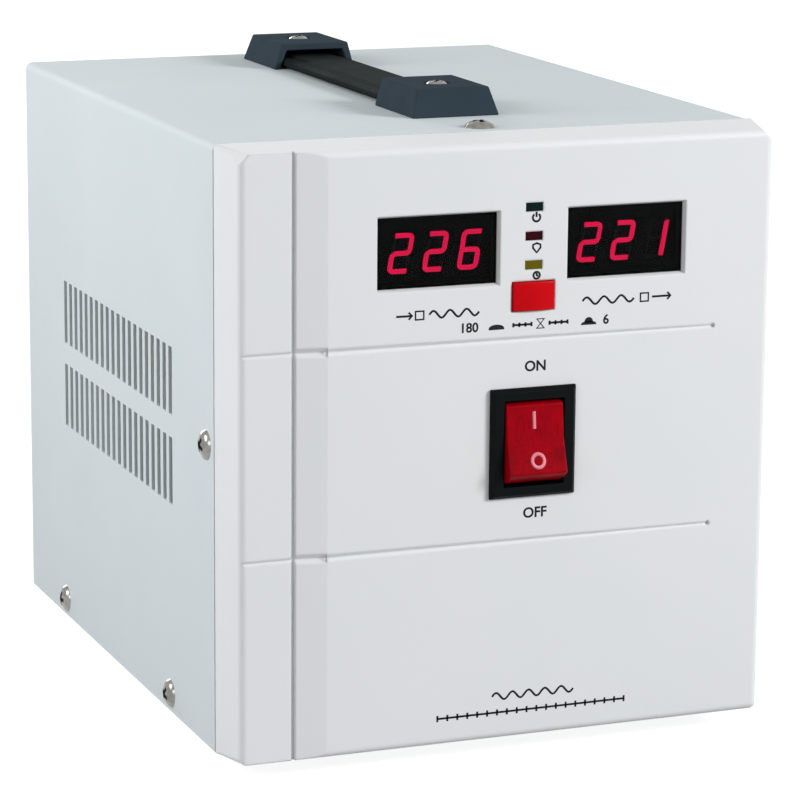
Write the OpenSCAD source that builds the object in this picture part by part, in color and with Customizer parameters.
// Servo-motor automatic voltage stabilizer, 1 kVA, free-standing.
// X runs across the front from left to right, the front panel faces -Y, and Z runs up.
// The origin is the centre of the outer box, on the surface that the feet stand on.

/* [Case] */
// Outer width of the sheet cover
cover_w = 160; // [154:1:190]
// Height of the cover from its lower edge to its top
cover_h = 170; // [162:1:200]
// Depth of the cover from the front panel's seam to its back edge
cover_d = 186; // [182:1:220]
// Thickness of the cover's sheet
cover_t = 0.8; // [0.8:0.1:1.4]
// Outer radius of the cover's two top bends
bend_r = 2.2; // [1.8:0.1:4]
// Thickness of the tray, bulkhead and rear panel
chassis_t = 1.2; // [1:0.1:1.6]
// Width of the flanges folded on the chassis sheets
flange_w = 12; // [11:0.5:14]

/* [Side vents] */
// Slots in each row
vent_count = 20; // [12:1:22]
// Spacing of the slots along a row
vent_pitch = 5.55; // [4.5:0.05:5.8]
// Width of one slot
vent_w = 3; // [1.6:0.1:3.4]
// Height of one slot
vent_h = 19.5; // [14:0.5:22]
// Height of the plain band between the two rows
vent_band = 6.6; // [4:0.2:10]

/* [Front panel] */
// Depth of the moulded panel from the seam to its main face
panel_d = 18.4; // [17.8:0.1:22]
// Wall thickness of the moulding
panel_wall = 2.4; // [2:0.1:2.8]
// Distance that the left strip lies behind the main face
strip_step = 1.4; // [0.6:0.1:1.8]
// Width of the left strip, from the case's side to the groove
strip_w = 16.4; // [12:0.2:20]
// Width of the upright groove
groove_w = 1.1; // [0.7:0.1:1.6]
// Depth of the upright groove
groove_depth = 1.3; // [0.6:0.1:1.4]
// Width of the sloping face beside the groove
facet_w = 8.7; // [6:0.1:10]
// Sideways draft of the panel's two sides
side_draft = 1.5; // [0.5:0.1:2]
// Draft of the panel's top and bottom
top_draft = 0.8; // [0.3:0.1:1.5]
// Rounding of the panel's front edges
edge_r = 2; // [1:0.1:3]
// Size of the cut across each upper front corner
top_corner = 3.4; // [1.5:0.1:5]
// Size of the cut across each lower front corner
low_corner = 2.2; // [1:0.1:4]
// Height of the two level grooves
line_h = 2; // [1.2:0.1:2.6]
// Depth of the two level grooves
line_depth = 0.9; // [0.4:0.1:1]

/* [Displays] */
// Width of a display window
window_w = 34.8; // [31:0.1:36]
// Height of a display window
window_h = 19.6; // [17:0.1:20.6]
// Spacing of the two windows
window_pitch = 55.8; // [54:0.1:60]
// Depth of the lens behind the panel's face
window_recess = 1.3; // [0.8:0.1:1.6]
// Thickness of the display board
board_t = 1.6; // [1.2:0.1:2]
// Depth of a display module
display_d = 7.6; // [6:0.1:8.4]
// Width of an indicator's window
led_w = 5.2; // [4:0.1:6]
// Height of an indicator's window
led_h = 2.5; // [2:0.1:3.4]
// Spacing of the indicators
led_pitch = 8; // [6:0.1:8.4]
// Width of the delay button
button_w = 12.4; // [10:0.1:13]
// Height of the delay button
button_h = 7.9; // [6:0.1:8.6]
// Distance that the delay button stands out of the panel
button_out = 1.2; // [0.6:0.1:2]
// Travel of the delay button
button_travel = 3; // [2:0.1:3.2]

/* [Power switch] */
// Width of the switch's bezel
bezel_w = 25.6; // [25:0.1:28]
// Height of the switch's bezel
bezel_h = 31; // [30:0.1:34]
// Thickness of the bezel in front of the panel
bezel_t = 1.8; // [1.4:0.1:2.4]
// Width of the switch's body behind the panel
body_w = 21.6; // [21.2:0.1:23]
// Height of the switch's body
body_h = 27.8; // [27.6:0.1:29]
// Depth of the switch's body behind the panel's face
body_d = 22; // [20:0.5:26]
// Width of the rocker
rocker_w = 17.2; // [16:0.1:18.4]
// Radius of the rocker's two ends about its pivot
rocker_r = 11.7; // [11:0.1:12.4]
// Tilt of the rocker to each side of its middle
rocker_tilt = 12; // [8:0.5:12]
// Diameter of the rocker's pivot pins
pivot_d = 3; // [2:0.1:3.2]

/* [Handle] */
// Sideways place of the handle from the middle of the cover
handle_x = 1.5; // [-4:0.5:4]
// Width of an end cap at its foot
cap_w = 26.5; // [25:0.5:30]
// Length of an end cap
cap_l = 30.3; // [27:0.1:34]
// Height of an end cap
cap_h = 8; // [7.4:0.1:10]
// Inward slope of a cap's two sides
cap_side_slope = 2.3; // [1:0.1:2.6]
// Inward slope of a cap's outer end
cap_end_slope = 2.6; // [1:0.1:4]
// Wall thickness of a cap
cap_wall = 1.8; // [1.4:0.1:2]
// Distance from the seam to the front cap
handle_front = 27.2; // [20:0.2:30]
// Length of the handle over both caps
handle_l = 147; // [130:1:150]
// Width of the strap
strap_w = 20.4; // [16:0.1:20.6]
// Thickness of the strap
strap_t = 3.4; // [2.4:0.1:4]
// Lengthwise slide of the strap in its caps, each way
strap_slide = 2; // [1:0.1:2.4]

/* [Fasteners] */
// Thread diameter of the case screws
screw_d = 4; // [3:0.5:4]
// Head diameter of the case screws
screw_head_d = 8.6; // [7:0.1:9]
// Head height of the case screws
screw_head_h = 2.6; // [2:0.1:3]
// Length of the case screws
screw_l = 7; // [6:0.5:10]
// Head diameter of the handle screws
handle_head_d = 7; // [6.4:0.1:8]
// Width of the nuts across their flats
nut_af = 7; // [6.5:0.1:7.5]
// Height of the nuts
nut_h = 3.2; // [2.4:0.1:3.6]
// Thread diameter of the small self-tapping screws
tap_d = 3; // [2.6:0.1:3]
// Head diameter of the small self-tapping screws
tap_head_d = 5.8; // [5:0.1:6]

/* [Feet] */
// Height of the feet below the cover
foot_h = 5; // [4:0.5:7]
// Diameter of a foot
foot_d = 16; // [13:0.5:18]

/* [Rear fittings] */
// Width and height of an outlet's flange
outlet_w = 50; // [49:0.5:54]
// Thickness of an outlet's flange
outlet_flange_t = 3; // [2.4:0.2:4]
// Diameter of an outlet's recess for the plug
outlet_bore = 39; // [38:0.1:39.6]
// Depth of an outlet's recess
outlet_depth = 17.5; // [15:0.1:18]
// Diameter of the holes for the plug's pins
pin_hole_d = 5.2; // [5:0.1:5.6]
// Spacing of the plug's pins
pin_pitch = 19; // [18:0.5:20]
// Thread diameter of the reset breaker's bush
breaker_bush_d = 10; // [9:0.5:12]
// Diameter of the breaker's reset button
reset_d = 6; // [5:0.1:7]
// Travel of the reset button
reset_travel = 4; // [3:0.1:4.4]
// Thread diameter of the cable gland
gland_d = 15.2; // [14:0.2:18]
// Bore of the cable gland
gland_bore = 8; // [7:0.1:9]

/* [Regulating transformer] */
// Room between the winding and the motor bracket's legs
core_side_room = 9.55; // [6:0.05:14]
// Least room between the winding and the terminal block
core_back_room = 2; // [1:0.5:4]
// Inner diameter of the ring core
core_id = 56; // [54:1:60]
// Height of the ring core
core_h = 44; // [36:1:46]
// Thickness of the winding on the core
winding_t = 3; // [2:0.1:3.4]
// Turns drawn round the winding
turn_count = 72; // [48:4:96]
// Thickness of the insulating pad under the winding
pad_t = 3; // [2:0.5:4]

/* [Servo drive] */
// Diameter of the brush shaft
shaft_d = 8; // [6:0.5:9]
// Module of the gear teeth
gear_m = 1; // [0.9:0.05:1.05]
// Teeth of the large gear
gear_teeth = 54; // [48:2:54]
// Teeth of the motor's pinion
pinion_teeth = 18; // [18:2:20]
// Thickness of the gears
gear_t = 6; // [4:0.5:7]
// Diameter of the servo motor's gearbox
motor_d = 36; // [30:1:37]
// Height of the servo motor with its gearbox
motor_h = 50; // [40:1:55]
// Diameter of the motor's shaft
motor_shaft_d = 6; // [4:0.5:7]
// Width of the carbon brush along the turns
brush_w = 8; // [6:0.5:9]
// Depth of the carbon brush along the radius
brush_l = 6; // [5:0.5:7]
// Height of the carbon brush
brush_h = 10; // [8:0.5:11]
// Lift of the brush in its holder
brush_lift = 1; // [0.6:0.1:1.2]

/* [Hidden] */
$fn = 48;

// Overrun of every cut past the face it opens
cut = 0.5;
// Gap between sheets and parts that are fitted by hand
fit_gap = 0.15;
// Gap round a part that moves
move_gap = 0.3;
// Radial clearance of a shaft that turns in a bore
run_gap = 0.05;
// Steps of a rounded corner drawn as points
arc_steps = 6;

// Finishes
case_paint = "#d5dde1";
panel_white = "#e6e8e9";
zinc = "#b9bcbe";
steel = "#c9cccd";
black_plastic = "#20242a";
strap_vinyl = "#363f41";
lens_black = "#141a1e";
rocker_red = "#c2122a";
button_red = "#e0231f";
brass = "#c9a24a";
copper = "#a9602c";
board_green = "#2f6b45";
nylon = "#efece0";
rubber_black = "#1b1b1b";
phenolic = "#5b3a22";

// Heights and planes of the case, from the seam and the cover's lower edge
inner_half_w = cover_w / 2 - cover_t - fit_gap;
inner_top = cover_h - cover_t - fit_gap;
seam_gap = 0.8;
bulkhead_y = 1;
rear_inset = 1;
rear_face_y = cover_d - rear_inset;
tray_flange_h = 13;
flange_end_gap = 4;
tray_flange_end = flange_w + flange_end_gap;
corner_relief = 3;
bottom_vent_w = 3;
bottom_vent_l = 30;
bottom_vent_count = 7;
bottom_vent_pitch = 9;

// Places of the side vents and screws, as shares of the cover's depth and height
vent_centre_share = [0.4905, 0.4975];
low_screw_share = [0.2153, 0.79];
side_screw_share = 0.506;
low_screw_z = 5.3;
front_screw_y = 6.6;

// Front panel planes and places
main_y = -panel_d;
strip_y = main_y + strip_step;
inner_y = main_y + panel_wall;
strip_inner_y = strip_y + panel_wall;
panel_left = -cover_w / 2 + side_draft;
panel_right = cover_w / 2 - side_draft;
groove_left = -cover_w / 2 + strip_w;
groove_right = groove_left + groove_w;
facet_right = groove_right + facet_w;
line_share = [0.34, 0.6753];
line_end_share = 0.881;
line_dot_d = 1.2;
strip_line_share = 0.4;
facet_line_share = 0.35;
fade_share = 0.55;
corner_reach = 1.2;
tongue_l = 0.8;
tongue_t = 1.6;
boss_d = 7;
boss_inset = [13, 15];
pilot_share = 0.8;
pilot_l = 9;
rib_t = 1.4;
rib_h = 3;
rib_share = [0.14, 0.26];

// The display group
column_x_share = 0.0375;
display_z_share = 0.826;
column_x = cover_w * column_x_share;
display_z = cover_h * display_z_share;
window_flare = 0.7;
lens_lip = 1.5;
lens_flange_t = 1.4;
lens_fit = 0.15;
display_gap = 0.1;
display_face_y = inner_y + lens_flange_t + display_gap;
board_y = display_face_y + display_d;
board_margin = 3.2;
board_over = 6.2;
board_under = 4.9;
board_half_w = window_pitch / 2 + window_w / 2 + board_margin + lens_lip;
board_up = window_h / 2 + lens_lip + board_over;
board_boss_d = 4.6;
board_boss_inset = 2.6;
board_tap_d = 2.4;
board_tap_head_d = 4.4;
led_rise = 10.8;
led_fit = 0.1;
led_foot = 1.2;
button_drop = 13.8;
button_fit = 0.25;
button_flange = 1;
button_flange_t = 1;
button_stem = 3;
button_body = [8.6, 7.6];
button_well_floor = 0.8;
button_flange_y = inner_y + move_gap;
button_switch_y = button_flange_y + button_flange_t + button_travel + move_gap;
board_down = button_drop + button_h / 2 + board_under;
digit_count = 3;
digit_share = [0.2, 0.6];
digit_pocket = 0.3;

// The power switch
switch_x_share = 0.039;
switch_z_share = 0.5044;
switch_x = cover_w * switch_x_share;
switch_z = cover_h * switch_z_share;
bezel_front_y = main_y - bezel_t;
pivot_depth = 4.5;
pivot_y = bezel_front_y + pivot_depth;
rocker_face_end = 6.7;
rocker_face_mid = 5.7;
rocker_back = 4;
rocker_wall = 1.6;
rocker_room = 0.4;
rocker_stem_d = 4;
rocker_stem_l = 6.5;
chamber_back = 9;
cutout_fit = 0.2;
bezel_bevel = 1;
snap_out = 0.9;
snap_l = 5;
blade = [0.8, 6.3, 8];
blade_pitch = [10, 12];
switch_window_gap = 4;

// The handle
recess_depth = 1.7;
recess_gap = 0.6;
handle_boss_d = 7.4;
handle_screw_l = 14;
strap_lift = 0.6;
strap_edge = 0.8;
strap_band_share = 0.62;
strap_band_rise = 0.7;
strap_end_land = 2.4;
cap_roof = 2.2;
handle_rear = handle_front + handle_l;
cap_screw_y = [handle_front + cap_l / 2, handle_rear - cap_l / 2];

// Feet and tray screws
foot_x_inset = 18;
foot_y_inset = 22;
foot_taper = 1;
foot_recess = 1.6;
tray_screw_x_share = 0.3;
tray_screw_inset = 8;

// Rear fittings
outlet_gap = 8;
outlet_z_share = 0.69;
outlet_corner = 5;
outlet_wall = 2;
outlet_floor = 3;
outlet_back = [36, 11];
outlet_chamfer = 1.2;
outlet_screw_share = 0.41;
key_rib = [3, 4];
clip_w = 5;
clip_t = 1;
clip_out = 2.6;
pin_hole_depth = 12;
rear_vent_count = 14;
rear_vent_z_share = 0.42;
breaker_x_share = 0.3125;
breaker_z = 30;
breaker_body_size = [14, 33, 34];
breaker_bush_out = 5.8;
breaker_nut_t = 2.4;
breaker_nut_af = 14;
reset_out = 1.5;
reset_l = 12;
gland_x_share = -0.3125;
gland_z = 26;
gland_hex_af = 20;
gland_hex_t = 5;
gland_dome_l = 11;
gland_dome_tip = 12;
gland_thread_l = 8;
gland_nut_t = 4;
block_size = [52, 16, 13];
block_poles = 5;
block_wall = 1.6;
block_screw_d = 4.4;
block_y_inset = 24;

// The transformer and its brush gear, on the tray
toroid_y_share = 0.495;
toroid_y = cover_d * toroid_y_share;
core_gap = 0.2;
bracket_t = 1.5;
bracket_w = 44;
bracket_foot = 11;
bracket_gap = 0.8;
bracket_leg_x = inner_half_w - chassis_t - bracket_gap - bracket_foot;
block_y = rear_face_y - block_y_inset;
ring_room = [bracket_leg_x - bracket_t - core_side_room, block_y - block_size[1] / 2 - core_back_room - toroid_y];
winding_out_r = min(ring_room);
winding_in_r = core_id / 2 - winding_t;
core_od = 2 * (winding_out_r - winding_t);
turn_groove = 0.6;
turn_share = 0.35;
pad_top = chassis_t + pad_t;
winding_h = core_h + 2 * winding_t;
winding_top = pad_top + winding_h;
hub_gap = 0.4;
hub_r = winding_in_r - hub_gap;
hub_bore_floor = 4;
hub_screw_r = 17;
clamp_lap = 7;
clamp_r = winding_in_r + clamp_lap;
clamp_t = 2.4;
clamp_hole_gap = 1;
track_offset = 4;
track_r = (winding_in_r + winding_out_r) / 2 + track_offset;
brush_gap = 0.3;
brush_z = winding_top + brush_gap;
brush_bare = 3.2;
holder_wall = 2;
holder_gap = 0.12;
holder_bottom = brush_z + brush_bare;
spring_h = 6;
spring_turns = 5;
spring_r = 1.9;
spring_wire_r = 0.35;
spring_sides = 6;
spring_steps = 12;
spring_seat = 0.1;
holder_top = brush_z + brush_h + spring_h + 2 * spring_seat + holder_wall;
arm_w = 11;
arm_t = 6;
arm_rise = 2;
arm_z = holder_bottom + arm_rise;
hub_wall = 5;
arm_hub_r = shaft_d / 2 + hub_wall;
gear_rise = 3;
gear_z = holder_top + gear_rise;
gear_web_share = [0.4, 0.84];
gear_web_t = 2;
tooth_backlash = 0.16;
centre_slack = 0.1;
gear_distance = gear_m * (gear_teeth + pinion_teeth) / 2 + centre_slack;
pressure_angle = 20;
flank_steps = 3;
bracket_rise = 5;
bracket_z = gear_z + gear_t + bracket_rise;
shaft_out = 6;
shaft_top = bracket_z + bracket_t + shaft_out;
shaft_foot = 0.4;
collar_t = 3;
collar_wall = 3;
gearbox_share = 0.4;
motor_can_share = 0.86;
motor_boss_d = 12;
motor_boss_h = 2;
motor_tab = [6, 2];
motor_bore_l = 12;
motor_shaft_below = 1;

// The control board and what stands on it
control_w = 50;
control_l = 78;
spacer_h = 8;
spacer_d = 6;
control_overhang = 3;
control_x = -bracket_leg_x + control_w / 2 - control_overhang;
control_z = bracket_z + bracket_t + spacer_h;
control_top = control_z + board_t;
spacer_span = [36, 34];
relay_size = [27, 20, 24];
transformer_size = [28, 28, 27];
transformer_window = 9;
cap_sizes = [[12, 20], [10, 16], [8, 12]];
cap_spacing = 15;
part_inset = 4;

// How far the part reaches in front of the seam and behind the cover
rocker_tip_out = rocker_face_end * cos(rocker_tilt) + sqrt(rocker_r * rocker_r - rocker_face_end * rocker_face_end)
    * sin(rocker_tilt);
front_reach = rocker_tip_out - pivot_y;
rear_reach = gland_hex_t + gland_dome_l - rear_inset;
seam_y = front_reach - (front_reach + cover_d + rear_reach) / 2;

// Points of an arc about a centre
function arc(centre, r, from, to) =
    [for (i = [0 : arc_steps]) let (a = from + (to - from) * i / arc_steps) centre + r * [cos(a), sin(a)]];

// The angle, in degrees, that an involute has unwound at a pressure angle
function involute(a) = tan(a) * 180 / PI - a;

// Half the angle of a tooth at a radius, for a gear of a pitch radius
function tooth_half(pitch_r, teeth, r) =
    90 / teeth - tooth_backlash / pitch_r * 90 / PI + involute(pressure_angle)
    - involute(acos(min(1, pitch_r * cos(pressure_angle) / r)));

// Outline of an involute gear
function gear_outline(teeth) =
    let (pitch_r = gear_m * teeth / 2, tip_r = pitch_r + gear_m, root_r = pitch_r - 1.25 * gear_m,
        low_r = max(root_r, pitch_r * cos(pressure_angle)))
    [for (i = [0 : teeth - 1])
        let (middle = 360 * i / teeth,
            flank = [for (k = [0 : flank_steps]) low_r + (tip_r - low_r) * k / flank_steps],
            foot = tooth_half(pitch_r, teeth, low_r))
        each concat(
            [root_r * [cos(middle - foot), sin(middle - foot)]],
            [for (r = flank) let (a = middle - tooth_half(pitch_r, teeth, r)) r * [cos(a), sin(a)]],
            [for (k = [flank_steps : -1 : 0]) let (r = flank[k], a = middle + tooth_half(pitch_r, teeth, r))
                r * [cos(a), sin(a)]],
            [root_r * [cos(middle + foot), sin(middle + foot)]])];

// Puts pieces from the case's own frame, at the seam and the cover's lower edge, into the part's frame
module in_case() {
    translate([0, seam_y, foot_h]) children();
}

// Stands on the tray, on the transformer's axis
module on_axis() {
    in_case() translate([0, toroid_y, 0]) children();
}

// Extrudes an outline drawn in X and Z along Y
module along_y(from, to) {
    translate([0, to, 0]) rotate([90, 0, 0]) linear_extrude(to - from) children();
}

// Extrudes an outline drawn in Y and Z along X
module along_x(from, to) {
    translate([from, 0, 0]) rotate([90, 0, 90]) linear_extrude(to - from) children();
}

// A rectangle centred on the origin with round corners
module round_rect(w, h, r) {
    square([w - 2 * r, h], center = true);
    square([w, h - 2 * r], center = true);
    for (x = [-1, 1], y = [-1, 1]) translate([x * (w / 2 - r), y * (h / 2 - r)]) circle(r);
}

// The outline of a bent cover, standing on its lower edge
module bent_outline(w, h, r) {
    translate([-w / 2, 0]) square([w, h - r]);
    translate([-w / 2 + r, 0]) square([w - 2 * r, h]);
    for (x = [-1, 1]) translate([x * (w / 2 - r), h - r]) circle(r);
}

// A box from one corner to the other
module box(low, high) {
    translate(low) cube(high - low);
}

// A box that tapers from one size to a larger one, opening towards -Y
module tapered_pocket(w, h, depth, flare) {
    intersection() {
        along_x(-w / 2 - flare, w / 2 + flare)
            polygon([[-depth, -h / 2 - flare], [0, -h / 2], [0, h / 2], [-depth, h / 2 + flare]]);
        translate([0, 0, -h / 2 - flare]) linear_extrude(h + 2 * flare)
            polygon([[-w / 2 - flare, -depth], [w / 2 + flare, -depth], [w / 2, 0], [-w / 2, 0]]);
    }
}

// A screw with a domed head above the origin and its shank below
module pan_screw(d, head_d, head_h, length) {
    dome_r = (head_d * head_d / 4 + head_h * head_h) / (2 * head_h);
    intersection() {
        cylinder(d = head_d, h = head_h);
        translate([0, 0, head_h - dome_r]) sphere(dome_r);
    }
    translate([0, 0, -length]) cylinder(d = d, h = length + head_h / 2);
}

// A six-sided nut above the origin
module nut(af, h, bore) {
    difference() {
        cylinder(d = af / cos(30), h = h, $fn = 6);
        translate([0, 0, -cut]) cylinder(d = bore, h = h + 2 * cut);
    }
}

// Both rows of vent slots, through both sides of the cover
module side_vents() {
    middle = [cover_d * vent_centre_share[0], cover_h * vent_centre_share[1]];
    for (i = [0 : vent_count - 1], row = [-1, 1])
        translate([-cover_w / 2 - cut, middle[0] + (i - (vent_count - 1) / 2) * vent_pitch - vent_w / 2,
                middle[1] + row * (vent_band + vent_h) / 2 - vent_h / 2])
            cube([cover_w + 2 * cut, vent_w, vent_h]);
}

// Puts a part at each screw that goes through the cover, with +Z out of the sheet
module at_cover_screws() {
    for (side = [-1, 1], place = [
            [cover_d * low_screw_share[0], low_screw_z],
            [cover_d * low_screw_share[1], low_screw_z],
            [front_screw_y, cover_h * side_screw_share]])
        translate([side * cover_w / 2, place[0], place[1]]) rotate([0, side * 90, 0]) children();
    translate([0, front_screw_y, cover_h]) children();
}

// Puts a part at each handle screw, with the cover's top at Z = 0
module at_handle_screws() {
    for (y = cap_screw_y) translate([handle_x, y, cover_h]) children();
}

module cover() {
    color(case_paint) in_case() difference() {
        along_y(0, cover_d) bent_outline(cover_w, cover_h, bend_r);
        translate([0, 0, -cut]) along_y(-cut, cover_d + cut)
            bent_outline(cover_w - 2 * cover_t, cover_h - cover_t + cut, bend_r - cover_t);
        side_vents();
        at_cover_screws() translate([0, 0, -cover_t - cut]) cylinder(d = screw_d + fit_gap, h = cover_t + 2 * cut);
        at_handle_screws() translate([0, 0, -cover_t - cut]) cylinder(d = screw_d + 2 * fit_gap, h = cover_t + 2 * cut);
    }
}

// Puts a part at each foot, with the tray's underside at Z = 0
module at_feet() {
    for (x = [-1, 1] * (cover_w / 2 - foot_x_inset), y = [foot_y_inset, cover_d - foot_y_inset])
        translate([x, y, 0]) children();
}

// Puts a part at each screw that comes up through the tray, with the tray's underside at Z = 0
module at_tray_screws() {
    for (x = [-1, 1] * cover_w * tray_screw_x_share,
            y = [bulkhead_y + tray_screw_inset, rear_face_y - tray_screw_inset])
        translate([x, y, 0]) children();
    for (a = [90 : 120 : 330]) translate([hub_screw_r * cos(a), toroid_y + hub_screw_r * sin(a), 0]) children();
    for (x = [-1, 1] * (bracket_leg_x + bracket_foot / 2), y = [-1, 1] * bracket_w / 4)
        translate([x, toroid_y + y, 0]) children();
}

module base_tray() {
    front = bulkhead_y;
    back = rear_face_y - chassis_t - fit_gap;
    color(zinc) in_case() difference() {
        union() {
            box([-inner_half_w, front, 0], [inner_half_w, back, chassis_t]);
            for (side = [-1, 1]) translate([side * (inner_half_w - chassis_t / 2) - chassis_t / 2, tray_flange_end, 0])
                cube([chassis_t, cover_d - 2 * tray_flange_end, tray_flange_h]);
        }
        for (side = [-1, 1], share = low_screw_share)
            translate([side * (inner_half_w - chassis_t - cut), cover_d * share, low_screw_z])
                rotate([0, side * 90, 0]) cylinder(d = screw_d, h = chassis_t + 2 * cut);
        at_feet() translate([0, 0, -cut]) cylinder(d = screw_d + fit_gap, h = chassis_t + 2 * cut);
        at_tray_screws() translate([0, 0, -cut]) cylinder(d = screw_d + fit_gap, h = chassis_t + 2 * cut);
        for (i = [0 : bottom_vent_count - 1], side = [0, 1])
            translate([(i - (bottom_vent_count - 1) / 2) * bottom_vent_pitch - bottom_vent_w / 2,
                    toroid_y + (side * 2 - 1) * (winding_out_r - bottom_vent_l / 2) - bottom_vent_l / 2, -cut])
                cube([bottom_vent_w, bottom_vent_l, chassis_t + 2 * cut]);
    }
}

// A flanged sheet that closes one end of the case: a plate with four flanges folded to one side.
// The plate's outer face is at Y = 0 and the flanges run to +Y.
module flanged_sheet() {
    low = chassis_t;
    high = inner_top;
    box([-inner_half_w, 0, low], [inner_half_w, chassis_t, high]);
    for (side = [-1, 1])
        translate([side * (inner_half_w - chassis_t / 2) - chassis_t / 2, 0, low + corner_relief])
            cube([chassis_t, flange_w, high - low - 2 * corner_relief]);
    box([-inner_half_w + corner_relief, 0, low], [inner_half_w - corner_relief, flange_w, low + chassis_t]);
    box([-inner_half_w + corner_relief, 0, high - chassis_t], [inner_half_w - corner_relief, flange_w, high]);
}

// Holes for the tray screws in a sheet's bottom flange
module tray_screw_holes(y) {
    for (x = [-1, 1] * cover_w * tray_screw_x_share)
        translate([x, y, chassis_t - cut]) cylinder(d = screw_d, h = chassis_t + 2 * cut);
}

// Puts a part at each of the front panel's four bosses, on the bulkhead's front face
module at_panel_bosses() {
    for (x = [-1, 1] * (cover_w / 2 - boss_inset[0]), z = [boss_inset[1], cover_h - boss_inset[1]])
        translate([x, bulkhead_y, z]) rotate([-90, 0, 0]) children();
}

module front_bulkhead() {
    harness = [window_pitch + window_w / 2, window_h];
    switch_hole = [body_w + 2 * switch_window_gap, body_h + 2 * switch_window_gap];
    color(zinc) in_case() difference() {
        translate([0, bulkhead_y, 0]) flanged_sheet();
        translate([column_x, bulkhead_y - cut, display_z - led_pitch / 2])
            along_y(0, chassis_t + 2 * cut) round_rect(harness[0], harness[1], corner_relief);
        translate([switch_x, bulkhead_y - cut, switch_z])
            along_y(0, chassis_t + 2 * cut) round_rect(switch_hole[0], switch_hole[1], corner_relief);
        at_panel_bosses() translate([0, 0, -cut]) cylinder(d = tap_d + fit_gap, h = chassis_t + 2 * cut);
        for (side = [-1, 1]) translate([side * (inner_half_w - chassis_t - cut), front_screw_y,
                cover_h * side_screw_share])
            rotate([0, side * 90, 0]) cylinder(d = screw_d, h = chassis_t + 2 * cut);
        translate([0, front_screw_y, inner_top - chassis_t - cut]) cylinder(d = screw_d, h = chassis_t + 2 * cut);
        tray_screw_holes(bulkhead_y + tray_screw_inset);
    }
}

// Puts a part at each outlet on the rear panel's outer face, with +Z pointing out of the back
module at_outlet(side) {
    translate([side * (outlet_w + outlet_gap) / 2, rear_face_y, cover_h * outlet_z_share]) rotate([-90, 0, 0])
        children();
}

module at_breaker() {
    translate([cover_w * breaker_x_share, rear_face_y, breaker_z]) rotate([-90, 0, 0]) children();
}

module at_gland() {
    translate([cover_w * gland_x_share, rear_face_y, gland_z]) rotate([-90, 0, 0]) children();
}

// Puts a part at both fixing screws of an outlet
module at_outlet_screws(side) {
    for (k = [-1, 1]) at_outlet(side) translate([k * outlet_w * outlet_screw_share, -k * outlet_w * outlet_screw_share, 0])
        children();
}

module rear_panel() {
    color(case_paint) in_case() difference() {
        translate([0, rear_face_y, 0]) mirror([0, 1, 0]) flanged_sheet();
        for (side = [-1, 1]) {
            at_outlet(side) translate([0, 0, -chassis_t - cut])
                cylinder(d = outlet_bore + 2 * outlet_wall + 2 * fit_gap, h = chassis_t + 2 * cut);
            at_outlet_screws(side) translate([0, 0, -chassis_t - cut])
                cylinder(d = tap_d * pilot_share, h = chassis_t + 2 * cut);
        }
        at_breaker() translate([0, 0, -chassis_t - cut]) cylinder(d = breaker_bush_d + fit_gap, h = chassis_t + 2 * cut);
        at_gland() translate([0, 0, -chassis_t - cut]) cylinder(d = gland_d + fit_gap, h = chassis_t + 2 * cut);
        for (i = [0 : rear_vent_count - 1])
            translate([(i - (rear_vent_count - 1) / 2) * vent_pitch - vent_w / 2, rear_face_y - chassis_t - cut,
                    cover_h * rear_vent_z_share - vent_h / 2])
                cube([vent_w, chassis_t + 2 * cut, vent_h]);
        tray_screw_holes(rear_face_y - tray_screw_inset);
    }
}

module cover_screws() {
    color(steel) in_case() at_cover_screws() pan_screw(screw_d - fit_gap, screw_head_d, screw_head_h, screw_l);
}

module tray_screws() {
    color(steel) in_case() at_tray_screws() rotate([180, 0, 0])
        pan_screw(screw_d - fit_gap, screw_head_d, screw_head_h, screw_l);
}

module feet() {
    color(rubber_black) in_case() at_feet() translate([0, 0, -foot_h]) difference() {
        cylinder(d1 = foot_d - 2 * foot_taper, d2 = foot_d, h = foot_h);
        translate([0, 0, -cut]) cylinder(d = screw_head_d + 2 * fit_gap, h = foot_recess + screw_head_h + cut);
        cylinder(d = screw_d + fit_gap, h = foot_h + cut);
    }
}

module foot_screws() {
    color(steel) in_case() at_feet() translate([0, 0, foot_recess + screw_head_h - foot_h]) rotate([180, 0, 0])
        pan_screw(screw_d - fit_gap, screw_head_d, screw_head_h, foot_h + chassis_t + nut_h - foot_recess
            - screw_head_h + fit_gap);
}

module foot_nuts() {
    color(steel) in_case() at_feet() translate([0, 0, chassis_t]) nut(nut_af, nut_h, screw_d);
}

// The panel's outline seen from above, with the strip, the groove, the sloping facet and the main face
module panel_plan() {
    half = cover_w / 2;
    translate([0, 0]) polygon(concat(
        [[-half, -seam_gap]],
        arc([panel_left + edge_r, strip_y + edge_r], edge_r, 180, 270),
        [[groove_left, strip_y], [groove_left, strip_y + groove_depth], [groove_right, strip_y + groove_depth],
            [groove_right, strip_y], [facet_right, main_y]],
        arc([panel_right - edge_r, main_y + edge_r], edge_r, 270, 360),
        [[half, -seam_gap]]));
}

// The panel's outline seen from its side
module panel_side() {
    polygon(concat(
        [[-seam_gap, 0]],
        [for (p = arc([main_y + edge_r, top_draft + edge_r], edge_r, 270, 180)) p],
        [for (p = arc([main_y + edge_r, cover_h - top_draft - edge_r], edge_r, 180, 90)) p],
        [[-seam_gap, cover_h]]));
}

// The room inside the panel, open at the back
module panel_room() {
    half = cover_w / 2 - panel_wall;
    low = top_draft + panel_wall;
    translate([0, 0, low]) linear_extrude(cover_h - 2 * low)
        polygon([[-half, cut], [-half + side_draft, strip_inner_y], [facet_right, strip_inner_y],
            [facet_right, inner_y], [half - side_draft, inner_y], [half, cut]]);
}

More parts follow.
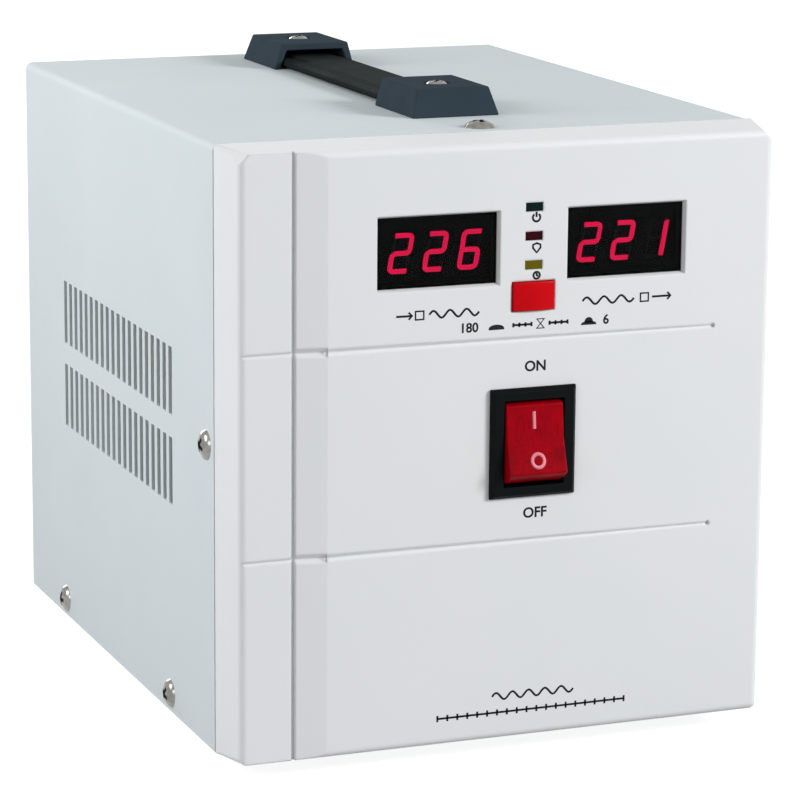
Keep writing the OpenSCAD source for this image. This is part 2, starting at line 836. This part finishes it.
// One stretch of a level groove, from a point of the plan to another
module line_groove(from, to) {
    half = line_h / 2 * (1 + cut / line_depth);
    run = to - from;
    translate([from[0], from[1], 0]) rotate([0, 0, atan2(run[1], run[0])])
        along_x(0, norm(run)) polygon([[-cut, -half], [line_depth, 0], [-cut, half]]);
}

// The two level grooves, shallow on the strip, deep on the facet and fading along the main face
module level_grooves() {
    line_right = -cover_w / 2 + cover_w * line_end_share;
    for (share = line_share) translate([0, 0, cover_h * share]) {
        line_groove([panel_left, strip_y - line_depth * strip_line_share],
            [groove_left + cut, strip_y - line_depth * strip_line_share]);
        line_groove([groove_right - cut, strip_y + line_depth * facet_line_share],
            [facet_right, main_y + line_depth * facet_line_share]);
        line_groove([facet_right, main_y], [line_right, main_y - line_depth * fade_share]);
        translate([line_right, main_y + line_depth, 0]) rotate([90, 0, 0])
            cylinder(d = line_dot_d, h = line_depth + cut);
    }
}

// Puts a part at a window's centre on the panel's main face
module at_window(side) {
    translate([column_x + side * window_pitch / 2, main_y, display_z]) children();
}

// Puts a part at an indicator, counted from the top
module at_led(index) {
    translate([column_x, main_y, display_z + led_rise - index * led_pitch]) children();
}

module at_button() {
    translate([column_x, main_y, display_z - button_drop]) children();
}

module at_switch() {
    translate([switch_x, 0, switch_z]) children();
}

// Puts a part at each screw of the display board, on its back face, with +Z pointing to the back
module at_board_screws() {
    for (x = [-1, 1] * (board_half_w - board_boss_inset),
            z = [-board_down + board_boss_inset, board_up - board_boss_inset])
        translate([column_x + x, board_y + board_t, display_z + z]) rotate([-90, 0, 0]) children();
}

module front_panel() {
    color(panel_white) in_case() difference() {
        union() {
            difference() {
                intersection() {
                    linear_extrude(cover_h) panel_plan();
                    along_x(-cover_w / 2, cover_w / 2) panel_side();
                }
                panel_room();
            }
            panel_tongue();
            panel_ribs();
            panel_bosses();
            at_board_screws() translate([0, 0, -board_t + inner_y - board_y - panel_wall / 2])
                cylinder(d = board_boss_d, h = board_y - inner_y + panel_wall / 2);
        }
        level_grooves();
        corner_cuts();
        for (side = [-1, 1]) at_window(side) {
            translate([0, window_recess, 0]) tapered_pocket(window_w, window_h, window_recess + cut, window_flare);
            along_y(-cut, panel_wall + cut) square([window_w, window_h], center = true);
        }
        for (index = [0 : 2]) at_led(index) along_y(-cut, panel_wall + cut) square([led_w, led_h], center = true);
        at_button() along_y(-cut, panel_wall + cut)
            square([button_w + 2 * button_fit, button_h + 2 * button_fit], center = true);
        at_switch() along_y(main_y - cut, inner_y + cut)
            square([body_w + 2 * cutout_fit, body_h + 2 * cutout_fit], center = true);
        at_panel_bosses() translate([0, 0, -pilot_l]) cylinder(d = tap_d * pilot_share, h = pilot_l + cut);
        at_board_screws() translate([0, 0, -board_t - pilot_l * pilot_share])
            cylinder(d = board_tap_d * pilot_share, h = pilot_l * pilot_share + cut);
    }
}

// The four screw bosses, each from inside the wall in front of it to the bulkhead
module panel_bosses() {
    for (x = [-1, 1] * (cover_w / 2 - boss_inset[0]), z = [boss_inset[1], cover_h - boss_inset[1]])
        translate([x, 0, z]) along_y((x < 0 ? strip_y : main_y) + panel_wall / 2, bulkhead_y) circle(d = boss_d);
}

// What is cut off each front corner, so that the mitred edge narrows from the seam to the face.
// A cutter is a four-sided wedge with its tip on the seam's corner.
module corner_cuts() {
    face_x = cover_w / 2 - side_draft;
    for (x = [-1, 1], top = [0, 1]) {
        size = top == 1 ? top_corner : low_corner;
        seam = [x * cover_w / 2, 0, top * cover_h];
        face = [x * face_x, main_y, top == 1 ? cover_h - top_draft : top_draft];
        up = top == 1 ? 1 : -1;
        along = face + [-x * size, 0, 0] - seam;
        down = face + [0, 0, -up * size] - seam;
        outer = face + [x * size, -size, up * size];
        wedge = [seam, seam + along * corner_reach, seam + down * corner_reach, outer];
        polyhedron(wedge, x * up > 0 ? [[0, 1, 2], [0, 3, 1], [0, 2, 3], [1, 3, 2]]
            : [[0, 2, 1], [0, 1, 3], [0, 3, 2], [1, 2, 3]]);
    }
}

// The rim that centres the panel inside the cover's front edge
module panel_tongue() {
    half = inner_half_w - fit_gap;
    low = top_draft;
    high = inner_top - fit_gap;
    along_y(-panel_wall, tongue_l) difference() {
        translate([-half, low]) square([2 * half, high - low]);
        translate([-half + tongue_t, low + tongue_t]) square([2 * (half - tongue_t), high - low - 2 * tongue_t]);
    }
}

// Stiffening ribs inside the panel's main face, below the switch
module panel_ribs() {
    for (share = rib_share)
        box([facet_right, inner_y - panel_wall / 2, cover_h * share - rib_t / 2],
            [panel_right - panel_wall / 2, inner_y + rib_h, cover_h * share + rib_t / 2]);
}

module panel_screws() {
    color(steel) in_case() at_panel_bosses() translate([0, 0, chassis_t])
        pan_screw(tap_d * pilot_share, tap_head_d, screw_head_h * pilot_share, chassis_t + pilot_l * pilot_share);
}

module display_lens(side) {
    color(lens_black) in_case() at_window(side) {
        along_y(window_recess, panel_wall + lens_flange_t / 2)
            square([window_w - 2 * lens_fit, window_h - 2 * lens_fit], center = true);
        along_y(panel_wall, panel_wall + lens_flange_t)
            square([window_w + 2 * lens_lip, window_h + 2 * lens_lip], center = true);
    }
}

module input_lens() {
    display_lens(-1);
}

module output_lens() {
    display_lens(1);
}

// A three-digit module: a block whose face has a pocket over each digit
module display_module(side) {
    body_w = window_w - lens_lip;
    body_h = window_h - lens_lip;
    color(black_plastic) in_case() at_window(side) translate([0, display_face_y - main_y, 0]) difference() {
        along_y(0, display_d) square([body_w, body_h], center = true);
        for (i = [0 : digit_count - 1])
            translate([(i - (digit_count - 1) / 2) * body_w / digit_count, 0, 0]) along_y(-cut, digit_pocket)
                square([body_w * digit_share[0], body_h * digit_share[1]], center = true);
    }
}

module input_display() {
    display_module(-1);
}

module output_display() {
    display_module(1);
}

module display_board() {
    color(board_green) in_case() difference() {
        box([column_x - board_half_w, board_y, display_z - board_down],
            [column_x + board_half_w, board_y + board_t, display_z + board_up]);
        at_board_screws() translate([0, 0, -board_t - cut]) cylinder(d = board_tap_d + fit_gap, h = board_t + 2 * cut);
    }
}

module board_screws() {
    color(steel) in_case() at_board_screws()
        pan_screw(board_tap_d * pilot_share, board_tap_head_d, board_t, board_t + pilot_l * pilot_share * pilot_share);
}

// A rectangular indicator that stands on the board and ends in its window
module indicator(index, tint) {
    color(tint) in_case() at_led(index) {
        along_y(led_fit, board_y - main_y) square([led_w - 2 * led_fit, led_h - 2 * led_fit], center = true);
        along_y(board_y - main_y - led_foot, board_y - main_y) square([led_w + led_foot, led_h + led_foot], center = true);
    }
}

module power_led() {
    indicator(0, "#1d4a34");
}

module protect_led() {
    indicator(1, "#5a1020");
}

module delay_led() {
    indicator(2, "#8a7a20");
}

// The push switch under the delay button, with a well for the button's stem
module delay_switch() {
    color(black_plastic) in_case() translate([column_x, 0, display_z - button_drop]) difference() {
        along_y(button_switch_y, board_y) square(button_body, center = true);
        along_y(button_switch_y - cut, board_y - button_well_floor)
            square([button_stem + 2 * move_gap, button_stem + 2 * move_gap], center = true);
    }
}

module delay_button() {
    flange_end = button_flange_y + button_flange_t;
    stem_end = board_y - button_well_floor - move_gap - button_travel;
    color(button_red) in_case() translate([column_x, 0, display_z - button_drop]) {
        along_y(main_y - button_out, flange_end) square([button_w, button_h], center = true);
        along_y(button_flange_y, flange_end)
            square([button_w + 2 * button_flange, button_h + 2 * button_flange], center = true);
        along_y(button_flange_y, stem_end) square(button_stem, center = true);
    }
}

// The moulded switch body: bezel, snap wings, rocker chamber and the holes for the pivot pins
module switch_housing() {
    chamber_w = rocker_w + 2 * rocker_room;
    chamber_h = 2 * (rocker_r + rocker_room);
    back = main_y + body_d;
    color(black_plastic) in_case() at_switch() difference() {
        union() {
            intersection() {
                along_x(-bezel_w / 2, bezel_w / 2) polygon([[main_y, -bezel_h / 2], [main_y, bezel_h / 2],
                    [main_y - bezel_t + bezel_bevel, bezel_h / 2], [bezel_front_y, bezel_h / 2 - bezel_bevel],
                    [bezel_front_y, bezel_bevel - bezel_h / 2], [main_y - bezel_t + bezel_bevel, -bezel_h / 2]]);
                translate([0, 0, -bezel_h / 2]) linear_extrude(bezel_h) polygon([[-bezel_w / 2, main_y],
                    [bezel_w / 2, main_y], [bezel_w / 2, main_y - bezel_t + bezel_bevel],
                    [bezel_w / 2 - bezel_bevel, bezel_front_y], [bezel_bevel - bezel_w / 2, bezel_front_y],
                    [-bezel_w / 2, main_y - bezel_t + bezel_bevel]]);
            }
            along_y(main_y - bezel_t / 2, back) square([body_w, body_h], center = true);
            for (k = [0, 1]) mirror([0, 0, k]) along_x(-body_w / 4, body_w / 4)
                polygon([[inner_y + fit_gap, body_h / 2 - fit_gap], [inner_y + fit_gap, body_h / 2 + snap_out],
                    [inner_y + snap_l, body_h / 2 - fit_gap]]);
        }
        along_y(bezel_front_y - cut, pivot_y + chamber_back) square([chamber_w, chamber_h], center = true);
        along_y(pivot_y, pivot_y + chamber_back + rocker_stem_d)
            square([rocker_stem_d + 2 * rocker_room, chamber_h / 2], center = true);
        translate([-body_w / 2 - cut, pivot_y, 0]) rotate([0, 90, 0])
            cylinder(d = pivot_d + 2 * run_gap, h = body_w + 2 * cut);
    }
}

module switch_terminals() {
    back = main_y + body_d;
    color(brass) in_case() at_switch() for (x = [-1, 1] * blade_pitch[0] / 2, z = [-1, 1] * blade_pitch[1] / 2)
        translate([x - blade[0] / 2, back, z - blade[1] / 2]) cube([blade[0], blade[2], blade[1]]);
}

// Half outline of the rocker in its middle position: its back, its ends and its slightly hollow face
module rocker_outline(wall) {
    edge = rocker_face_mid + (rocker_face_end - rocker_face_mid) * rocker_r
        / sqrt(rocker_r * rocker_r - rocker_face_end * rocker_face_end);
    intersection() {
        circle(rocker_r - wall);
        polygon([[rocker_back + wall, -rocker_r], [rocker_back + wall, rocker_r], [wall - edge, rocker_r],
            [wall - rocker_face_mid, 0], [wall - edge, -rocker_r]]);
    }
}

module power_rocker() {
    inside = rocker_w / 2 - rocker_wall;
    color(rocker_red) in_case() translate([switch_x, pivot_y, switch_z]) rotate([-rocker_tilt, 0, 0]) {
        difference() {
            along_x(-rocker_w / 2, rocker_w / 2) rocker_outline(0);
            along_x(-inside, inside) rocker_outline(rocker_wall);
        }
        for (side = [-1, 1]) translate([side * inside, 0, 0]) rotate([0, side * 90, 0])
            cylinder(d = pivot_d, h = body_w / 2 - inside);
        translate([0, rocker_wall - rocker_face_mid - fit_gap, 0]) rotate([-90, 0, 0])
            cylinder(d = rocker_stem_d, h = rocker_stem_l + rocker_face_mid - rocker_wall);
    }
}

// The outside or the inside of an end cap: its outer end at Y = 0, open to +Y, standing on Z = 0
module cap_block(w, l, h, from) {
    intersection() {
        along_y(from, l) polygon([[-w / 2, 0], [w / 2, 0], [w / 2 - cap_side_slope, h], [cap_side_slope - w / 2, h]]);
        along_x(-w / 2, w / 2) polygon([[from, 0], [l, 0], [l, h], [from + cap_end_slope, h]]);
    }
}

module handle_cap() {
    difference() {
        union() {
            difference() {
                cap_block(cap_w, cap_l, cap_h, 0);
                translate([0, 0, -fit_gap]) cap_block(cap_w - 2 * cap_wall, cap_l + cut, cap_h - cap_roof + fit_gap, cap_wall);
            }
            translate([0, cap_l / 2, 0]) cylinder(d = handle_boss_d, h = cap_h - cap_roof / 2);
        }
        translate([0, cap_l / 2, cap_h - recess_depth]) cylinder(d = handle_head_d + recess_gap, h = recess_depth + cut);
        translate([0, cap_l / 2, -cut]) cylinder(d = screw_d + 2 * fit_gap, h = cap_h + cut);
    }
}

module handle_cap_front() {
    color(black_plastic) in_case() translate([handle_x, handle_front, cover_h]) handle_cap();
}

module handle_cap_rear() {
    color(black_plastic) in_case() translate([handle_x, handle_rear, cover_h]) rotate([0, 0, 180]) handle_cap();
}

// The carrying strap, with a slot round each cap's boss for its lengthwise play
module handle_strap() {
    low = strap_lift;
    high = strap_lift + strap_t;
    play = strap_slide + move_gap;
    ends = [cap_screw_y[0] - handle_boss_d / 2 - play - strap_end_land,
        cap_screw_y[1] + handle_boss_d / 2 + play + strap_end_land];
    band = strap_w / 2 * strap_band_share;
    shoulder = high - strap_band_rise;
    color(strap_vinyl) in_case() translate([handle_x, 0, cover_h]) difference() {
        along_y(ends[0], ends[1]) polygon([[strap_edge - strap_w / 2, low], [strap_w / 2 - strap_edge, low],
            [strap_w / 2, low + strap_edge], [strap_w / 2, shoulder - strap_edge],
            [strap_w / 2 - strap_edge, shoulder], [band + strap_band_rise, shoulder], [band, high], [-band, high],
            [-band - strap_band_rise, shoulder], [strap_edge - strap_w / 2, shoulder],
            [-strap_w / 2, shoulder - strap_edge], [-strap_w / 2, low + strap_edge]]);
        for (y = cap_screw_y) translate([0, y, 0]) {
            box([-handle_boss_d / 2 - move_gap, -play, 0], [handle_boss_d / 2 + move_gap, play, high + cut]);
            for (k = [-1, 1]) translate([0, k * play, 0])
                cylinder(d = handle_boss_d + 2 * move_gap, h = high + cut);
        }
    }
}

module handle_screws() {
    color(steel) in_case() at_handle_screws() translate([0, 0, cap_h - recess_depth])
        pan_screw(screw_d, handle_head_d, screw_head_h, handle_screw_l);
}

module handle_nuts() {
    color(steel) in_case() at_handle_screws() translate([0, 0, -cover_t - nut_h]) nut(nut_af, nut_h, screw_d + fit_gap);
}

// A round recessed outlet: a square flange, the plug's well, its side ribs and the body behind
module outlet(side) {
    well = outlet_depth - outlet_flange_t;
    collar_r = outlet_bore / 2 + outlet_wall;
    color("#f1f1ee") in_case() at_outlet(side) difference() {
        union() {
            linear_extrude(outlet_flange_t) round_rect(outlet_w, outlet_w, outlet_corner);
            translate([0, 0, -well - outlet_floor]) cylinder(r = collar_r, h = well + outlet_floor + outlet_flange_t / 2);
            translate([0, 0, -well - outlet_floor - outlet_back[1]]) linear_extrude(outlet_back[1] + outlet_floor / 2)
                square(outlet_back[0], center = true);
        }
        difference() {
            translate([0, 0, -well]) cylinder(d = outlet_bore, h = outlet_depth + cut);
            for (k = [-1, 1]) translate([k * outlet_bore / 2 - key_rib[0], -key_rib[1] / 2, -well - cut])
                cube([2 * key_rib[0], key_rib[1], outlet_depth - outlet_flange_t + cut]);
        }
        for (k = [-1, 1]) translate([k * pin_pitch / 2, 0, -well - pin_hole_depth])
            cylinder(d = pin_hole_d, h = pin_hole_depth + cut);
        for (k = [-1, 1]) translate([k * outlet_w * outlet_screw_share, -k * outlet_w * outlet_screw_share, -cut])
            cylinder(d = tap_d + fit_gap, h = outlet_flange_t + 2 * cut);
    }
}

module outlet_left() {
    outlet(-1);
}

module outlet_right() {
    outlet(1);
}

// The two sprung earth clips of each outlet, bent strips that lean into the well from above and below
module earth_clips() {
    well = outlet_depth - outlet_flange_t;
    rim = outlet_bore / 2;
    depth = well - clip_t;
    color(brass) in_case() for (side = [-1, 1], k = [0, 1]) at_outlet(side) mirror([0, k, 0])
        along_x(-clip_w / 2, clip_w / 2) polygon([[rim - clip_t - clip_t, -well + fit_gap], [rim - clip_t, -well + fit_gap],
            [rim - clip_t - clip_out / 2, -depth / 2], [rim - clip_t, 0], [rim - 2 * clip_t, 0],
            [rim - 2 * clip_t - clip_out, -depth / 2]]);
}

module outlet_screws() {
    color(steel) in_case() for (side = [-1, 1]) at_outlet_screws(side) translate([0, 0, outlet_flange_t])
        pan_screw(tap_d * pilot_share - fit_gap, tap_head_d, screw_head_h * pilot_share, outlet_flange_t + screw_l);
}

// The reset breaker: a flat body behind the panel and a threaded bush through it
module breaker_body() {
    back = -chassis_t - fit_gap;
    floor_z = breaker_bush_out + reset_out - reset_l - move_gap;
    color(black_plastic) in_case() at_breaker() difference() {
        union() {
            translate([0, 0, back - breaker_body_size[2] / 2]) cube(breaker_body_size, center = true);
            translate([0, 0, back - cut]) cylinder(d = breaker_bush_d - 2 * fit_gap, h = breaker_bush_out + cut - back);
        }
        translate([0, 0, floor_z]) cylinder(d = reset_d + 2 * run_gap, h = breaker_bush_out + cut - floor_z);
    }
}

module breaker_nut() {
    color(steel) in_case() at_breaker() nut(breaker_nut_af, breaker_nut_t, breaker_bush_d + fit_gap);
}

module reset_button() {
    color(rocker_red) in_case() at_breaker() translate([0, 0, breaker_bush_out + reset_out - reset_l])
        cylinder(d = reset_d, h = reset_l);
}

module cable_gland() {
    color(black_plastic) in_case() at_gland() difference() {
        union() {
            cylinder(d = gland_hex_af / cos(30), h = gland_hex_t, $fn = 6);
            translate([0, 0, gland_hex_t - cut]) cylinder(d1 = gland_hex_af - 2 * cut, d2 = gland_dome_tip, h = gland_dome_l + cut);
            translate([0, 0, -gland_thread_l]) cylinder(d = gland_d, h = gland_thread_l + cut);
        }
        translate([0, 0, -gland_thread_l - cut])
            cylinder(d = gland_bore, h = gland_thread_l + gland_hex_t + gland_dome_l + 2 * cut);
    }
}

module gland_nut() {
    color(black_plastic) in_case() at_gland() translate([0, 0, -chassis_t - gland_nut_t])
        nut(gland_hex_af, gland_nut_t, gland_d + fit_gap);
}

// A row of screw clamps for the mains leads, on the tray between the gland and the breaker
module terminal_block() {
    pole = block_size[0] / block_poles;
    color(nylon) in_case() translate([-block_size[0] / 2, block_y - block_size[1] / 2, chassis_t])
        difference() {
            cube(block_size);
            for (i = [0 : block_poles - 1]) translate([(i + 1 / 2) * pole, 0, 0]) {
                translate([0, block_size[1] / 2, block_size[2] / 2]) cylinder(d = block_screw_d, h = block_size[2]);
                translate([0, -cut, block_size[2] / 3]) rotate([-90, 0, 0])
                    cylinder(d = block_screw_d, h = block_size[1] + 2 * cut);
            }
            for (i = [1 : block_poles - 1]) translate([i * pole - block_wall / 2, -cut, block_size[2] * 2 / 3])
                cube([block_wall, block_size[1] / 4 + cut, block_size[2]]);
        }
}

module toroid_core() {
    color(steel) on_axis() translate([0, 0, pad_top + winding_t]) difference() {
        cylinder(d = core_od - 2 * core_gap, h = core_h, $fn = 96);
        translate([0, 0, -cut]) cylinder(d = core_id + 2 * core_gap, h = core_h + 2 * cut);
    }
}

// The winding wraps the core on every side; its outer face shows the turns, its top is the bared brush track
module toroid_winding() {
    step = 360 / turn_count;
    outline = [for (i = [0 : turn_count - 1]) each [
        winding_out_r * [cos((i - turn_share) * step), sin((i - turn_share) * step)],
        winding_out_r * [cos((i + turn_share) * step), sin((i + turn_share) * step)],
        (winding_out_r - turn_groove) * [cos((i + 1 / 2) * step), sin((i + 1 / 2) * step)]]];
    color(copper) on_axis() translate([0, 0, pad_top]) difference() {
        linear_extrude(winding_h) polygon(outline);
        translate([0, 0, -cut]) cylinder(r = winding_in_r, h = winding_h + 2 * cut);
        translate([0, 0, winding_t - core_gap]) difference() {
            cylinder(d = core_od, h = core_h + 2 * core_gap, $fn = 96);
            translate([0, 0, -cut]) cylinder(d = core_id, h = core_h + 2 * core_gap + 2 * cut);
        }
    }
}

module toroid_pad() {
    color(rubber_black) on_axis() translate([0, 0, chassis_t]) difference() {
        cylinder(r = winding_out_r, h = pad_t, $fn = 96);
        translate([0, 0, -cut]) cylinder(r = winding_in_r, h = pad_t + 2 * cut);
    }
}

// The hub that stands in the ring, is screwed up from the tray and carries the lower end of the brush shaft
module toroid_hub() {
    hub_top = winding_top - fit_gap;
    color(phenolic) on_axis() difference() {
        translate([0, 0, chassis_t]) cylinder(r = hub_r, h = hub_top - chassis_t);
        translate([0, 0, chassis_t + hub_bore_floor]) cylinder(d = shaft_d + 2 * run_gap, h = hub_top);
        for (a = [90 : 120 : 330]) translate([hub_screw_r * cos(a), hub_screw_r * sin(a), 0])
            cylinder(d = screw_d, h = chassis_t + screw_l + cut);
    }
}

module clamp_plate() {
    color(zinc) on_axis() translate([0, 0, winding_top]) difference() {
        cylinder(r = clamp_r, h = clamp_t);
        translate([0, 0, -cut]) cylinder(r = shaft_d / 2 + clamp_hole_gap, h = clamp_t + 2 * cut);
    }
}

module brush_shaft() {
    low = chassis_t + hub_bore_floor + shaft_foot;
    color(steel) on_axis() {
        translate([0, 0, low]) cylinder(d = shaft_d, h = shaft_top - low);
        translate([0, 0, bracket_z + bracket_t + move_gap]) cylinder(r = shaft_d / 2 + collar_wall, h = collar_t);
    }
}

// The brush arm rests pointing to -X, across the ring from the pinion
module brush_arm() {
    holder = [brush_l + 2 * (holder_gap + holder_wall), brush_w + 2 * (holder_gap + holder_wall)];
    color(phenolic) on_axis() difference() {
        union() {
            translate([0, 0, winding_top + clamp_t + move_gap])
                cylinder(r = arm_hub_r, h = gear_z - winding_top - clamp_t - 2 * move_gap);
            box([-track_r, -arm_w / 2, arm_z], [0, arm_w / 2, arm_z + arm_t]);
            box([-track_r - holder[0] / 2, -holder[1] / 2, holder_bottom],
                [-track_r + holder[0] / 2, holder[1] / 2, holder_top]);
        }
        translate([0, 0, winding_top]) cylinder(d = shaft_d + fit_gap, h = gear_z - winding_top);
        box([-track_r - brush_l / 2 - holder_gap, -brush_w / 2 - holder_gap, holder_bottom - cut],
            [-track_r + brush_l / 2 + holder_gap, brush_w / 2 + holder_gap, holder_top - holder_wall]);
    }
}

module carbon_brush() {
    color("#2c2c2e") on_axis() box([-track_r - brush_l / 2, -brush_w / 2, brush_z],
        [-track_r + brush_l / 2, brush_w / 2, brush_z + brush_h]);
}

// The brush's coil spring: one unbroken wire of round turns, swept ring by ring
module brush_spring() {
    rings = spring_turns * spring_steps;
    rise = spring_h - 2 * spring_wire_r;
    function ring(i) = let (a = 360 * i / spring_steps) [for (k = [0 : spring_sides - 1])
        let (b = 360 * k / spring_sides, r = spring_r + spring_wire_r * cos(b))
        [r * cos(a), r * sin(a), rise * i / rings + spring_wire_r * sin(b)]];
    points = [for (i = [0 : rings]) each ring(i)];
    sides = [for (i = [0 : rings - 1], k = [0 : spring_sides - 1])
        let (n = (k + 1) % spring_sides, p = i * spring_sides, q = p + spring_sides)
        each [[p + k, p + n, q + n], [p + k, q + n, q + k]]];
    first = [for (k = [spring_sides - 1 : -1 : 0]) k];
    last = [for (k = [0 : spring_sides - 1]) rings * spring_sides + k];
    color(steel) on_axis() translate([-track_r, 0, brush_z + brush_h + spring_seat + spring_wire_r])
        polyhedron(points, concat([first], sides, [last]), convexity = 4);
}

module drive_gear() {
    pitch_r = gear_m * gear_teeth / 2;
    web = [for (share = gear_web_share) pitch_r * share];
    color(nylon) on_axis() translate([0, 0, gear_z]) difference() {
        linear_extrude(gear_t) polygon(gear_outline(gear_teeth));
        for (k = [-1, 1]) translate([0, 0, k < 0 ? -cut : gear_t / 2 + gear_web_t / 2])
            difference() {
                cylinder(r = web[1], h = gear_t / 2 - gear_web_t / 2 + cut);
                translate([0, 0, -cut]) cylinder(r = max(web[0], arm_hub_r), h = gear_t + 2 * cut);
            }
        translate([0, 0, -cut]) cylinder(d = shaft_d + fit_gap, h = gear_t + 2 * cut);
    }
}

// Puts a part on the pinion's axis
module on_pinion() {
    on_axis() translate([gear_distance, 0, 0]) children();
}

// The bridge over the ring, which carries the motor, the top of the shaft and the control board
module motor_bracket() {
    leg = bracket_leg_x;
    color(zinc) on_axis() difference() {
        union() {
            box([-leg, -bracket_w / 2, bracket_z], [leg, bracket_w / 2, bracket_z + bracket_t]);
            for (k = [0, 1]) mirror([k, 0, 0]) {
                box([leg - bracket_t, -bracket_w / 2, chassis_t], [leg, bracket_w / 2, bracket_z + bracket_t / 2]);
                box([leg - bracket_t, -bracket_w / 2, chassis_t], [leg + bracket_foot, bracket_w / 2, chassis_t + bracket_t]);
            }
        }
        translate([0, 0, bracket_z - cut]) cylinder(d = shaft_d + 2 * run_gap, h = bracket_t + 2 * cut);
        translate([gear_distance, 0, bracket_z - cut])
            cylinder(d = motor_boss_d + 2 * fit_gap, h = bracket_t + 2 * cut);
        for (x = [-1, 1] * (leg + bracket_foot / 2), y = [-1, 1] * bracket_w / 4)
            translate([x, y, 0]) cylinder(d = screw_d, h = chassis_t + bracket_t + cut);
        at_spacers() translate([0, 0, -bracket_t - cut]) cylinder(d = tap_d, h = bracket_t + 2 * cut);
    }
}

// The servo motor stands on the bridge, its gearbox below and its can above
module servo_motor() {
    base = bracket_z + bracket_t;
    color("#8d9194") on_pinion() difference() {
        union() {
            translate([0, 0, base - motor_boss_h]) cylinder(d = motor_boss_d, h = motor_boss_h + cut);
            translate([0, 0, base]) cylinder(d = motor_d, h = motor_h * gearbox_share);
            translate([0, 0, base + motor_h * gearbox_share - cut])
                cylinder(d = motor_d * motor_can_share, h = motor_h * (1 - gearbox_share) + cut);
            for (k = [-1, 1]) translate([k * motor_tab[0] - motor_tab[1] / 2, -motor_tab[1] / 2, base + motor_h - cut])
                cube([motor_tab[1], motor_tab[1], motor_tab[0]]);
        }
        translate([0, 0, base - motor_boss_h - cut]) cylinder(d = motor_shaft_d + 2 * run_gap, h = motor_bore_l + cut);
    }
}

module motor_shaft() {
    top = bracket_z + bracket_t - motor_boss_h + motor_bore_l - move_gap;
    low = gear_z - motor_shaft_below;
    color(steel) on_pinion() translate([0, 0, low]) cylinder(d = motor_shaft_d, h = top - low);
}

// Half a tooth of turn puts a gap of the pinion on the large gear's tooth
module motor_pinion() {
    color(brass) on_pinion() translate([0, 0, gear_z]) rotate([0, 0, 180 + 180 / pinion_teeth]) difference() {
        linear_extrude(gear_t) polygon(gear_outline(pinion_teeth));
        translate([0, 0, -cut]) cylinder(d = motor_shaft_d + fit_gap, h = gear_t + 2 * cut);
    }
}

// Puts a part at each spacer, on the bracket's top face
module at_spacers() {
    for (x = [-1, 1] * spacer_span[0] / 2, y = [-1, 1] * spacer_span[1] / 2)
        translate([control_x + x, y, bracket_z + bracket_t]) children();
}

module control_board() {
    color(board_green) on_axis() difference() {
        box([control_x - control_w / 2, -control_l / 2, control_z], [control_x + control_w / 2, control_l / 2, control_top]);
        at_spacers() translate([0, 0, spacer_h - cut]) cylinder(d = tap_d + fit_gap, h = board_t + 2 * cut);
    }
}

module board_spacers() {
    color(brass) on_axis() at_spacers() {
        cylinder(d = spacer_d, h = spacer_h);
        translate([0, 0, -bracket_t]) cylinder(d = tap_d - fit_gap, h = bracket_t + spacer_h + board_t + screw_head_h / 2);
        translate([0, 0, spacer_h + board_t]) cylinder(d = tap_head_d, h = screw_head_h / 2);
    }
}

module power_relay() {
    y = control_l / 2 - part_inset / 2 - relay_size[1] / 2;
    color("#2b5fa8") on_axis() translate([control_x - relay_size[0] / 2, y - relay_size[1] / 2, control_top])
        cube(relay_size);
}

// The small control transformer: a stack of laminations round a bobbin
module control_transformer() {
    size = transformer_size;
    y = part_inset / 2 + size[1] / 2 - control_l / 2;
    color(zinc) on_axis() translate([control_x, y, control_top]) difference() {
        translate([-size[0] / 2, -size[1] / 2, 0]) cube(size);
        for (k = [-1, 1]) translate([k * size[0] / 4 - transformer_window / 4, -size[1] / 2 - cut, size[2] / 4])
            cube([transformer_window / 2, size[1] / 4 + cut, size[2] / 2]);
    }
}

module capacitors() {
    color("#1f3a5f") on_axis() for (i = [0 : len(cap_sizes) - 1])
        translate([control_x + (i - 1) * cap_spacing, part_inset, control_top]) cylinder(d = cap_sizes[i][0], h = cap_sizes[i][1]);
}

cover();
base_tray();
front_bulkhead();
rear_panel();
cover_screws();
tray_screws();
feet();
foot_screws();
foot_nuts();
front_panel();
panel_screws();
input_lens();
output_lens();
input_display();
output_display();
display_board();
board_screws();
power_led();
protect_led();
delay_led();
delay_button();
delay_switch();
switch_housing();
switch_terminals();
power_rocker();
handle_cap_front();
handle_cap_rear();
handle_strap();
handle_screws();
handle_nuts();
outlet_left();
outlet_right();
earth_clips();
outlet_screws();
breaker_body();
breaker_nut();
reset_button();
cable_gland();
gland_nut();
terminal_block();
toroid_core();
toroid_winding();
toroid_pad();
toroid_hub();
clamp_plate();
brush_shaft();
brush_arm();
carbon_brush();
brush_spring();
drive_gear();
motor_bracket();
servo_motor();
motor_shaft();
motor_pinion();
control_board();
board_spacers();
power_relay();
control_transformer();
capacitors();
